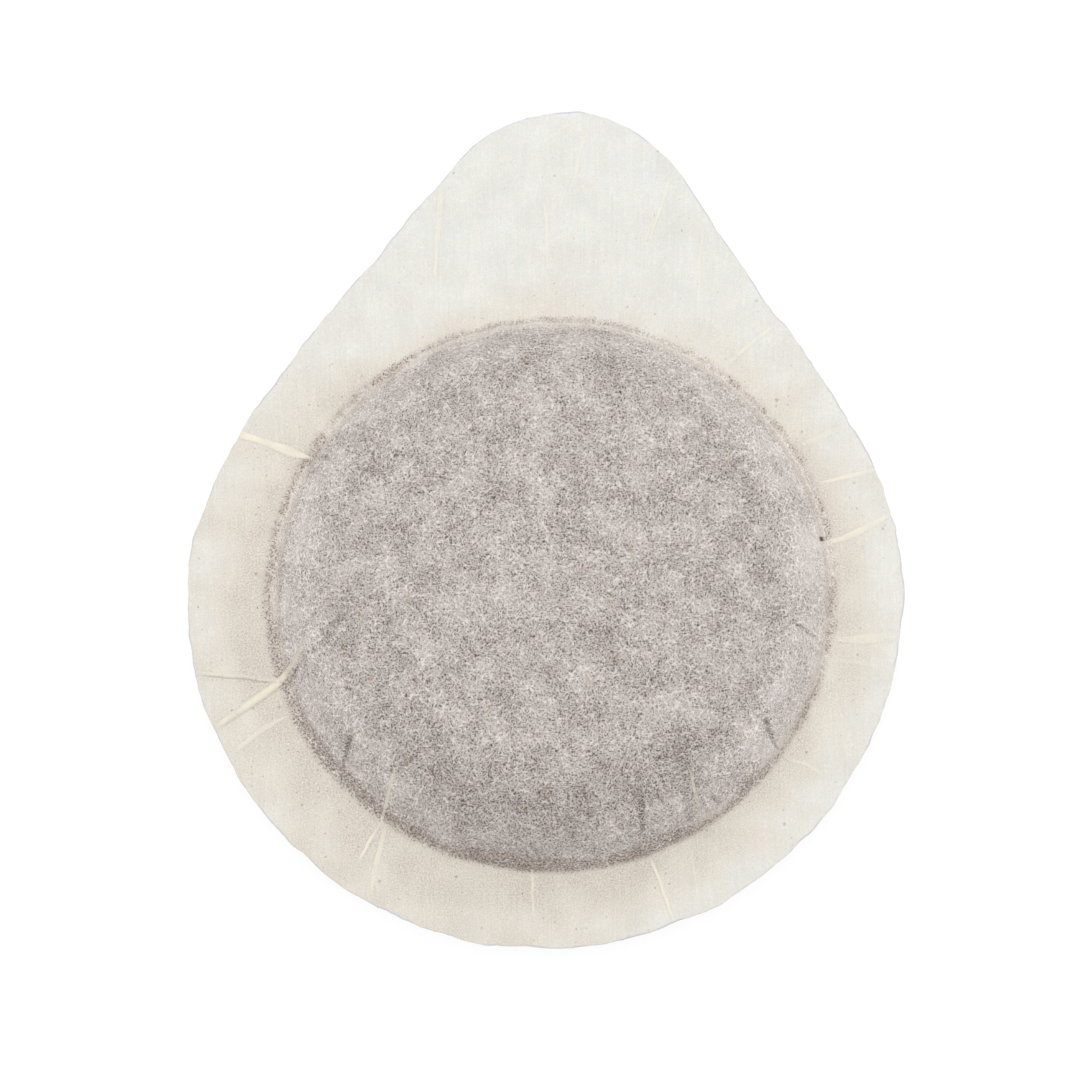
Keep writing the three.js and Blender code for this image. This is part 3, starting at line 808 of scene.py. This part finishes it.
def coffee_behind(wire, finish, paper):
    """Colour of the paper over the coffee: pale fibres, dark pits between them, and husks; lighter on the
    walls, partly painted light, darker on the lower side of the shoulder, partly painted shade, and with
    painted shade in creases.
    """
    pits = wire.times(wire.remap(paper.grain, 0.555, 0.7), wire.without(paper.fibres, 0.85))
    crowd = wire.scaled(paper.dense, 0.35, wire.remap(paper.blotches, 0.68, 0.32, 0.35, 1.0))
    crowd = wire.times(crowd, wire.without(paper.slack, 0.2))
    clumps = wire.remap(wire.noise(paper.flat, size=1.0), 0.5, 0.66)
    holes = wire.remap(wire.noise(paper.flat, size=0.21), 0.55, 0.68)
    tone = wire.weighted(
        0.42,
        (paper.fibres, 0.47),
        (wire.times(pits, crowd), -0.95),
        (wire.times(holes, clumps, wire.without(paper.fibres, 0.6)), -0.4),
        (wire.centred(paper.blotches), 0.46),
        # Lighter where the paper stands off the grounds, and with painted light on the walls.
        (wire.times(paper.slack, wire.scaled(paper.fibres, 0.3, 0.26)), 1.0),
        # Darker on the lower side of the shoulder: tighter grounds, and painted shade.
        (paper.dense, -0.1),
        # Painted shade in creases and grooves.
        (wire.times(paper.shade, wire.scaled(paper.grain, 1.0, 0.3)), -0.8),
    )
    mid_tone, light_tone = 0.5, 1.3
    to_mid = wire.remap(tone, 0.0, mid_tone, kind="LINEAR")
    to_light = wire.remap(tone, mid_tone, light_tone, kind="LINEAR")
    husks = specks(wire, paper.flat, cell=2.4, share=0.08, dot=0.15)
    return wire.layered(
        finish.through_dark,
        (to_mid, finish.through_mid),
        (to_light, finish.through_light),
        (wire.remap(paper.tints, 0.5, 0.75, 0.0, 0.2), finish.through_tan),
        (wire.times(husks, 0.55), finish.husk),
    )


def bare_paper(wire, finish, paper):
    """Colour of the rim and the tab: cream, and darker, warmer and more pitted where coffee has stained the
    paper and where shade is painted beside the dome and on the lower left, with specks, pale tucks, painted
    shade in creases and a painted grey shade along the cut edge."""
    warm_patches = wire.remap(paper.tints, 0.4, 0.65, 0.0, 0.3)
    warmth = wire.scaled(wire.remap(paper.stain_and_shade, 0.15, 0.55), 0.6, warm_patches)
    # Darker and warmer where the paper is stained, and where shade is painted beside the dome and on the
    # lower left.
    stained_and_shaded = wire.layered(finish.paper, (warmth, finish.paper_warm), (paper.stain_and_shade, finish.stain_and_shade))
    pit_depth = wire.scaled(wire.times(paper.stain_and_shade, paper.stain_and_shade), -0.65, -0.07)
    stretched = wire.vector("MULTIPLY", paper.flat, (1, 0.05, 1))
    laid_lines = wire.noise(stretched, size=0.2)
    fleck = wire.weighted(
        0.97,
        (paper.fibres, 0.07),
        (wire.times(wire.centred(paper.grain), pit_depth), 1.0),
        (wire.centred(laid_lines), 0.08),
        (wire.centred(paper.blotches), 0.14),
    )
    husks = specks(wire, paper.flat, cell=2.2, share=0.2, dot=0.16)
    bits = specks(wire, paper.flat, cell=0.9, share=0.3, dot=0.1)
    at_edge = wire.remap(wire.trait("inset"), 0.18, 0.04)
    return wire.layered(
        wire.mix(1.0, stained_and_shaded, fleck, "MULTIPLY"),
        (wire.times(husks, wire.scaled(paper.stain_and_shade, 0.3, 0.26)), finish.speck),
        (wire.times(bits, wire.scaled(paper.stain_and_shade, 0.42, 0.08)), finish.dust_and_shade),
        (wire.times(paper.tuck, wire.scaled(paper.grain, 0.4, 0.65)), finish.tuck),
        # Painted shade in creases and grooves, in the colour of the coffee dust.
        (wire.times(paper.shade, 0.5), finish.dust_and_shade),
        # A painted grey shade along the cut edge, broken in places.
        (wire.times(at_edge, wire.remap(paper.blotches, 0.4, 0.62)), finish.cut_edge_shade),
    )


def coffee_mask(wire, paper):
    """Where coffee shows: inside the seal, but not on tucks, and less at the foot of a clean wall."""
    inside = wire.remap(paper.ragged_seam, 0.2, -0.2)
    at_foot = wire.remap(wire.distance(paper.seam, -0.75), 0.75, 0.2)
    clean_foot = wire.times(at_foot, wire.remap(paper.dust_and_shade, 0.85, 0.5))
    return wire.times(inside, wire.without(paper.tuck), wire.without(clean_foot, 0.6))


def dust_and_shade_band(wire, finish, paper):
    """Layers of the broken band along the seal: coffee dust as a brown film and grains in it. On the lower
    side the band is wider, and its inner part there is painted shade at the foot of the wall.
    """
    # The band reaches further in where there is more dust and painted shade, most on the lower side.
    reach = wire.scaled(wire.times(paper.dust_and_shade, paper.dust_and_shade), 1.6, 0.1)
    from_inner = wire.maths("ADD", paper.seam, reach)
    inner_side = wire.remap(from_inner, wire.scaled(paper.dust_and_shade, -0.6, -0.1), 0.15)
    outer_side = wire.remap(paper.ragged_seam, 0.35, -0.1)
    breaks = wire.scaled(paper.dust_and_shade, 0.5, wire.noise(paper.flat, size=1.3))
    breaks = wire.remap(breaks, 0.48, 0.78)
    band = wire.times(inner_side, outer_side, wire.without(paper.tuck), breaks)
    film = wire.times(band, wire.scaled(paper.dust_and_shade, -0.2, 0.28))
    band = wire.times(band, wire.scaled(paper.dust_and_shade, 0.3, 0.5))
    grains = wire.noise(paper.flat, size=0.19, detail=2, roughness=0.7)
    grains = wire.remap(wire.scaled(band, 0.28, grains), 0.65, 0.8)
    grains = wire.times(grains, wire.remap(band, 0.0, 0.1), wire.scaled(paper.fibres, -0.4, 0.8))
    browns = wire.mix(wire.remap(paper.tints, 0.54, 0.66, 0.0, 0.7), finish.dust_and_shade, finish.speck)
    return (film, finish.through_tan), (grains, browns)


def pale_ridge(wire, paper):
    """Mask of the pale ridge of paper just inside the seal, where no dust covers it."""
    wandering = wire.scaled(paper.tints, 0.3, paper.seam)
    along_seal = wire.remap(wire.distance(wandering, -0.35), 0.12, 0.03)
    broken = wire.remap(paper.tints, 0.42, 0.6, 0.1, 0.45)
    return wire.times(along_seal, wire.remap(paper.dust_and_shade, 0.75, 0.25), broken)


def filter_paper(finish):
    """Felted filter paper: cream on the rim, and grey and mottled where coffee lies close behind it."""
    name = "felted_paper"
    if name in bpy.data.materials:
        return bpy.data.materials[name]
    material, wire, shader = new_material(name, roughness=0.92)
    paper = paper_fields(wire)
    shown = wire.layered(
        bare_paper(wire, finish, paper),
        (coffee_mask(wire, paper), coffee_behind(wire, finish, paper)),
        *dust_and_shade_band(wire, finish, paper),
        # The darkest painted shade, in dents and deep creases, in the colour of the pits.
        (wire.remap(paper.shade, 0.65, 0.95), finish.through_dark),
        (pale_ridge(wire, paper), finish.tuck),
    )
    wire.feed(shader.inputs["Base Color"], shown)
    height = wire.scaled(paper.fibres, 0.5, paper.grain)
    bump = {"Strength": 0.35, "Distance": 0.03 * MM, "Height": height}
    wire.feed(shader.inputs["Normal"], wire.add("ShaderNodeBump", bump))
    return material


def ground_coffee(finish):
    """Pressed grounds: grains of several browns with dark cracks between them, and husks."""
    material, wire, shader = new_material("pressed_grounds", roughness=0.95)
    flat = wire.trait("flat", "Vector")
    grains = wire.add("ShaderNodeTexVoronoi", {"Vector": flat, "Scale": 1.6}, voronoi_dimensions="2D").node
    tone = wire.add("ShaderNodeSeparateColor", {0: grains.outputs["Color"]})
    husks = specks(wire, flat, cell=1.4, share=0.12, dot=0.25)
    shown = wire.layered(
        finish.grounds_dark,
        (wire.remap(tone, 0.1, 0.95), finish.grounds_light),
        (wire.remap(grains.outputs["Distance"], 0.35, 0.7, 0.0, 0.75), finish.grounds_dark),
        (wire.times(husks, 0.7), finish.husk),
    )
    wire.feed(shader.inputs["Base Color"], shown)
    bump = {"Strength": 0.8, "Distance": 0.15 * MM, "Height": grains.outputs["Distance"]}
    wire.feed(shader.inputs["Normal"], wire.add("ShaderNodeBump", bump, invert=True))
    return material


# Limits of the drawn sheet's zones, in mm along the paper from the seal, negative inside it
# Where the shoulder darkens on its lower side: tighter grounds, and painted shade
SHOULDER_ZONE = (-11.5, -8.5, -6, -3.5)
# Where the wall is lighter: paper standing off the grounds, and painted light
SLACK_AND_LIGHT_ZONE = (-7.5, -3.5, -1.5, -0.4)
# Where the rim's stain and painted shade fade out, and how far they reach from the seal
STAIN_AND_SHADE_FADE = (1, 5)
STAIN_AND_SHADE_REACH = 2.4


def facing(bearing, degrees):
    """How much bearings face one in degrees: 1 along it, and -1 the other way."""
    return np.cos(bearing - math.radians(degrees))


def bell(value, middle, width):
    """A soft hump, 1 at its middle."""
    return np.exp(-(((value - middle) / width) ** 2))


def zone(limits, out, share):
    """A soft step up over the first two limits, and down again by a share over the other two."""
    return smoothstep(*limits[:2], out) * (1 - share * smoothstep(*limits[2:], out))


def coffee_edge(bearing):
    """How far outside the seal's inner edge the coffee shows, in mm: the cake sits a little to the left in
    the dome and is a little oval."""
    return 0.36 * facing(bearing, 130) + 0.3 * np.cos(2 * (bearing - math.radians(15))) + 0.17


def paper_relief(out, radius, turn):
    """Relief of the drawn sheet besides its creases: swells in the dome, dents round its shoulder, a ridge
    at its foot and cockles in the rim."""
    swells = sum(hills.at(radius, turn) for hills in DOME_SWELLS) * (1 - smoothstep(-4, -1, out))
    dents = SHOULDER_DENTS.at(radius, turn) * bell(out, -8, 2.2)
    ridge = FOOT_RIDGE * (0.6 + RIDGE_WANDER.at(radius, turn)) * bell(out, -0.9, 0.25)
    cockles = RIM_COCKLES.at(radius, turn) * smoothstep(0, 1.5, out)
    return (swells + dents + ridge + cockles) * MM


def rim_stain_and_shade(out, radius, turn):
    """How far the rim is stained and shaded: most beside the seal, partly a coffee stain and partly painted
    shade under the dome's wall, and on the lower left of the rim, partly stain and partly painted shade.
    """
    fading = 0.25 + 0.4 * np.maximum(facing(turn, 165), 0) + 0.7 * np.maximum(facing(turn, 300), 0) ** 8
    lower_left = smoothstep(-0.3, 0.75, facing(turn, 223)) * (1 - fading * smoothstep(*STAIN_AND_SHADE_FADE, out))
    beside_seal = (0.64 + 0.32 * np.cos(2 * turn)) * np.exp(-np.maximum(out, 0) / STAIN_AND_SHADE_REACH)
    stain_and_shade = 0.2 + 0.7 * lower_left + beside_seal
    return np.clip(stain_and_shade * (0.92 + STAIN_AND_SHADE_WANDER.at(radius, turn)), 0, 1)


def drawn_traits(out, radius, turn):
    """What the finish reads at each point of the drawn sheet: how far it is from the coffee's edge, how
    crowded the grounds behind it are, with painted shade on the lower side of the shoulder, how far the
    paper stands off them, with painted light on the walls, its dust, with painted shade at the foot of the
    lower wall, and its stain, with painted shade beside the dome and on the lower left of the rim."""
    # The lower side, where the shoulder gets tighter grounds and painted shade.
    low_side = smoothstep(0.45, 1.0, -np.sin(turn) + LOW_SIDE_WANDER.at(radius, turn))
    # The walls are lighter on the right and the left: paper standing off the grounds, and painted light.
    stand_off_and_light = 0.95 + 0.22 * facing(turn, -26) + 0.5 * np.cos(2 * turn)
    # Dust along the seal, most on the lower left, where the band also holds painted shade at the wall's
    # foot.
    dust_and_shade = 0.54 + 0.36 * facing(turn, 245) + DUST_AND_SHADE_WANDER.at(radius, turn)
    return {
        "seam": out - coffee_edge(turn) - SEAM_WANDER.at(radius, turn),
        "dense": zone(SHOULDER_ZONE, out, 0.6) * low_side,
        "slack": zone(SLACK_AND_LIGHT_ZONE, out, 0.5) * stand_off_and_light * (0.85 + SLACK_AND_LIGHT_WANDER.at(radius, turn)),
        "dust_and_shade": np.clip(dust_and_shade, 0.05, 1),
        "stain_and_shade": rim_stain_and_shade(out, radius, turn),
    }


def rim_rings(shape, edge, count):
    """Radii of the rim's rings, from the seal's inner edge to the cut edge."""
    return shape.seal_radius + np.linspace(0, 1, count + 1)[:, None] * (edge - shape.seal_radius)


def inside_rings(dome_rings, ring_count):
    """The rings of the drawn sheet's outside that its inside lies under: every few, and the last."""
    crown = np.arange(0, CROWN_RINGS, INSIDE_FLAT_STEP)
    dome = np.arange(CROWN_RINGS, dome_rings, INSIDE_BEND_STEP)
    rim = np.arange(dome_rings, ring_count - 1, INSIDE_FLAT_STEP)
    return np.concatenate((crown, dome, rim, [ring_count - 1]))


def drawn_skins(shape, bearing):
    """The drawn sheet's outside, and its inside one thickness under some rings of the outside."""
    profile = dome_profile(shape)
    edge = edge_radius(shape, bearing)
    gathers = profile.gather[:, None] * (0.5 + 0.5 * swell(bearing, GATHERS))
    dome_radius = profile.radius[:, None] + shape.gather_depth * gathers
    rim_radius = rim_rings(shape, edge, RIM_RINGS)[1:]
    radius = np.concatenate((dome_radius, rim_radius))
    turn = np.broadcast_to(bearing, radius.shape)
    rim_height = meeting_height(shape, rim_radius, bearing) + shape.paper_thickness
    height = np.concatenate((profile.height[:, None] + 0 * dome_radius, rim_height))
    normal = np.concatenate((profile.normal, np.tile((0.0, 1.0), (RIM_RINGS, 1))))
    dome_out = (profile.along - profile.along[-1])[:, None] + 0 * dome_radius
    out = np.concatenate((dome_out, rim_radius - shape.seal_radius)) / MM

    relief, lines = crease_forms(radius, turn)
    relief += paper_relief(out, radius, turn)
    traits = {**drawn_traits(out, radius, turn), **lines}
    radius = radius + normal[:, :1] * relief
    height = height + normal[:, 1:] * relief
    traits |= {
        "inset": (edge - radius) / MM,
        "flat": flat_places(out * MM + profile.along[-1], turn),
    }
    outside = Skin(ring_points(radius, turn, height), traits)

    picked = inside_rings(len(profile.radius), len(radius))
    inner_radius = radius[picked] - shape.paper_thickness * normal[picked, :1]
    inner_height = height[picked] - shape.paper_thickness * normal[picked, 1:]
    inner_traits = {name: values[picked] for name, values in traits.items()}
    return outside, Skin(ring_points(inner_radius, bearing, inner_height), inner_traits)


def dish_profile(shape, above):
    """Radii and heights of the dish that the cover sheet makes under the cake, a distance above its upper
    face: the flat that the pad rests on, then the rise to just inside the seal."""
    rest_radius = shape.seal_radius - shape.dish_width
    rise = shape.seal_height - shape.paper_thickness
    share = np.linspace(0, 1, DISH_RINGS + 2)[1:-1]
    flat_radius = np.linspace(0, rest_radius, FLAT_RINGS + 1)[1:]
    radius = np.concatenate((flat_radius, rest_radius + share * shape.dish_width))
    share = np.concatenate((np.zeros(FLAT_RINGS), share))
    # The slope of a soft step
    slope = 6 * share * (1 - share) * rise / shape.dish_width
    steep = np.hypot(slope, 1)
    height = shape.paper_thickness + rise * smoothstep(0, 1, share) + above / steep
    return radius - above * slope / steep, height


def cover_skin(shape, bearing, depth):
    """One skin of the cover sheet, a depth under its upper face: the dish and the rim."""
    edge = edge_radius(shape, bearing)
    dish_radius, dish_height = (values[:, None] + 0 * bearing for values in dish_profile(shape, -depth))
    rim_radius = rim_rings(shape, edge, COVER_RIM_RINGS)
    radius = np.concatenate((dish_radius, rim_radius))
    height = np.concatenate((dish_height, meeting_height(shape, rim_radius, bearing) - depth))
    turn = np.broadcast_to(bearing, radius.shape)
    out = (radius - shape.seal_radius) / MM
    none = 0 * out
    traits = {
        "seam": out,
        "inset": (edge - radius) / MM,
        "dense": none,
        "slack": smoothstep(-4, -1.5, out),
        "dust_and_shade": none + COVER_DUST,
        "stain_and_shade": np.exp(-np.maximum(out, 0) / STAIN_AND_SHADE_REACH) * (0.6 + COVER_STAIN_WANDER.at(radius, turn)),
        "pale": none,
        "dark": none,
        "flat": flat_places(radius, turn),
    }
    return Skin(ring_points(radius, turn, height), traits)


def cake_skins(shape, bearing):
    """The pressed coffee's lumpy top and side, and its underside, which lies in the dish."""
    profile = dome_profile(shape)
    keep = slice(0, CROWN_RINGS + SHOULDER_RINGS + WALL_RINGS)
    normal = profile.normal[keep]
    depth = shape.paper_thickness + shape.cake_clearance
    radius = (profile.radius[keep] - depth * normal[:, 0])[:, None] + 0 * bearing
    height = (profile.height[keep] - depth * normal[:, 1])[:, None] + 0 * bearing
    # The lumps only reach inwards, so they stay clear of the paper.
    lumps = CAKE_LUMPS.at(radius, bearing) - CAKE_LUMPS.height
    radius = radius + normal[:, :1] * lumps * MM
    height = height + normal[:, 1:] * lumps * MM
    along = profile.along[keep][:, None] + 0 * bearing
    upper = Skin(ring_points(radius, bearing, height), {"flat": flat_places(along, bearing)})
    dish_radius, dish_height = dish_profile(shape, shape.cake_clearance)
    dish_height[:FLAT_RINGS] -= shape.cake_clearance
    inside = dish_radius[:, None] + 0 * bearing
    base = ring_points(inside, bearing, dish_height[:, None])
    return upper, Skin(base, {"flat": flat_places(inside, bearing)})


def dress(piece, node):
    """Puts a piece in the place of a solid, on the pad's only body."""
    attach(piece, "root")
    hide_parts(node)


def even_bearings(count):
    """Bearings of evenly spaced columns."""
    return np.linspace(-np.pi, np.pi, count, endpoint=False)


class COFFEEPAD_OT_drawn_sheet(bpy.types.Operator):
    """Build the filter-paper sheet that is drawn over the coffee, with its tucks and gathers"""

    bl_idname = "coffeepad.drawn_sheet"
    bl_label = "Drawn sheet"

    def execute(self, context):
        shape = context.scene.coffee_pad_shape
        outside, inside = drawn_skins(shape, column_bearings())
        material = filter_paper(context.scene.coffee_pad_finish)
        piece = closed_piece("drawn_filter_sheet", outside, inside, material)
        dress(piece, "drawn_sheet")
        return {"FINISHED"}


class COFFEEPAD_OT_cover_sheet(bpy.types.Operator):
    """Build the filter-paper sheet behind the coffee, with the shallow dish that the coffee lies in"""

    bl_idname = "coffeepad.cover_sheet"
    bl_label = "Cover sheet"

    def execute(self, context):
        shape = context.scene.coffee_pad_shape
        bearing = even_bearings(COVER_COLUMNS)
        upper = cover_skin(shape, bearing, 0)
        lower = cover_skin(shape, bearing, shape.paper_thickness)
        material = filter_paper(context.scene.coffee_pad_finish)
        piece = closed_piece("cover_filter_sheet", upper, lower, material, upper_shows=False)
        dress(piece, "cover_sheet")
        return {"FINISHED"}


class COFFEEPAD_OT_coffee_cake(bpy.types.Operator):
    """Build the disc of pressed ground coffee"""

    bl_idname = "coffeepad.coffee_cake"
    bl_label = "Coffee cake"

    def execute(self, context):
        upper, lower = cake_skins(context.scene.coffee_pad_shape, even_bearings(CAKE_COLUMNS))
        material = ground_coffee(context.scene.coffee_pad_finish)
        piece = closed_piece("pressed_coffee", upper, lower, material)
        dress(piece, "coffee_cake")
        return {"FINISHED"}


def background_rays(wire):
    """1 for the rays that show the background: from the camera, or by way of metal or glass."""
    path = wire.add("ShaderNodeLightPath").node
    seen = path.outputs["Is Camera Ray"]
    for ray in ("Is Glossy Ray", "Is Transmission Ray"):
        seen = wire.maths("MAXIMUM", seen, path.outputs[ray])
    return seen


class COFFEEPAD_OT_stage(bpy.types.Operator):
    """Set up the floor, the light and the camera"""

    bl_idname = "coffeepad.stage"
    bl_label = "Stage"

    def execute(self, context):
        stage = context.scene.coffee_pad_stage
        self.lay_floor(stage)
        self.set_light(context.scene, stage)
        self.set_camera(context.scene, stage)
        return {"FINISHED"}

    def lay_floor(self, stage):
        """A wide pale floor that the camera sees as white, apart from the pad's shadow."""
        mesh = bpy.data.meshes.new("floor")
        half = stage.floor_size / 2
        corners = [(x * half, y * half, -stage.floor_gap) for x, y in ((-1, -1), (1, -1), (1, 1), (-1, 1))]
        mesh.from_pydata(corners, [], [(0, 1, 2, 3)])
        floor = bpy.data.objects.new("floor", mesh)
        bpy.context.scene.collection.objects.link(floor)
        material, wire, shader = new_material("floor", roughness=1.0)
        wire.feed(shader.inputs["Base Color"], stage.floor)
        shader.inputs["Specular IOR Level"].default_value = 0.0
        strength = wire.times(background_rays(wire), stage.floor_lift)
        glow = wire.add("ShaderNodeEmission", {"Color": (1, 1, 1), "Strength": strength})
        both = wire.add("ShaderNodeAddShader", {0: shader.outputs[0], 1: glow})
        output = material.node_tree.nodes["Material Output"]
        wire.feed(output.inputs["Surface"], both)
        mesh.materials.append(material)

    def set_light(self, scene, stage):
        """An even light all round, a large soft lamp above and another beyond the tab."""
        world = bpy.data.worlds.new("even_light")
        scene.world = world
        world.use_nodes = True
        wire = Wiring(world.node_tree)
        strength = wire.scaled(background_rays(wire), 1 - stage.fill, stage.fill)
        background = world.node_tree.nodes["Background"]
        wire.feed(background.inputs["Color"], (1, 1, 1))
        wire.feed(background.inputs["Strength"], strength)
        self.hang_lamp(scene, "overhead", stage.overhead, stage.overhead_place, stage.lamp_size)
        self.hang_lamp(scene, "key", stage.key, stage.key_place, stage.lamp_size)

    def hang_lamp(self, scene, name, power, where, size):
        """A square soft lamp that points at the pad."""
        lamp = bpy.data.lights.new(name, "AREA")
        lamp.energy = power
        lamp.size = size
        hung = bpy.data.objects.new(name, lamp)
        hung.location = where
        hung.rotation_euler = (-hung.location).to_track_quat("-Z", "Y").to_euler()
        scene.collection.objects.link(hung)

    def set_camera(self, scene, stage):
        """The camera looks down on the pad, leaning a little towards its round end."""
        data = bpy.data.cameras.new("camera")
        data.lens = stage.lens
        data.clip_start = stage.near_clip
        camera = bpy.data.objects.new("camera", data)
        back = np.array((0, -math.sin(stage.tilt), math.cos(stage.tilt)))
        camera.location = np.array(stage.aim) + stage.distance * back
        camera.rotation_euler = (stage.tilt, 0, 0)
        scene.collection.objects.link(camera)
        scene.camera = camera
        scene.view_settings.view_transform = "Standard"


OPERATORS = (
    COFFEEPAD_OT_drawn_sheet,
    COFFEEPAD_OT_cover_sheet,
    COFFEEPAD_OT_coffee_cake,
    COFFEEPAD_OT_stage,
)


class COFFEEPAD_PT_panel(bpy.types.Panel):
    """Lists the pad's pieces and its stage"""

    bl_label = "Coffee Pad"
    bl_idname = "COFFEEPAD_PT_panel"
    bl_space_type = "VIEW_3D"
    bl_region_type = "UI"
    bl_category = "Coffee Pad"

    def draw(self, context):
        for operator in OPERATORS:
            self.layout.operator(operator.bl_idname)


CLASSES = (PadShape, PadFinish, PadStage, *OPERATORS, COFFEEPAD_PT_panel)


def register():
    """Registers the classes and hangs the settings on the scene."""
    for cls in CLASSES:
        bpy.utils.register_class(cls)
    bpy.types.Scene.coffee_pad_shape = bpy.props.PointerProperty(type=PadShape)
    bpy.types.Scene.coffee_pad_finish = bpy.props.PointerProperty(type=PadFinish)
    bpy.types.Scene.coffee_pad_stage = bpy.props.PointerProperty(type=PadStage)


def unregister():
    """Takes back what register did."""
    del bpy.types.Scene.coffee_pad_shape
    del bpy.types.Scene.coffee_pad_finish
    del bpy.types.Scene.coffee_pad_stage
    for cls in reversed(CLASSES):
        bpy.utils.unregister_class(cls)


def main():
    """Builds the pad and its stage."""
    register()
    bpy.ops.coffeepad.drawn_sheet()
    bpy.ops.coffeepad.cover_sheet()
    bpy.ops.coffeepad.coffee_cake()
    bpy.ops.coffeepad.stage()


if __name__ == "__main__":
    main()
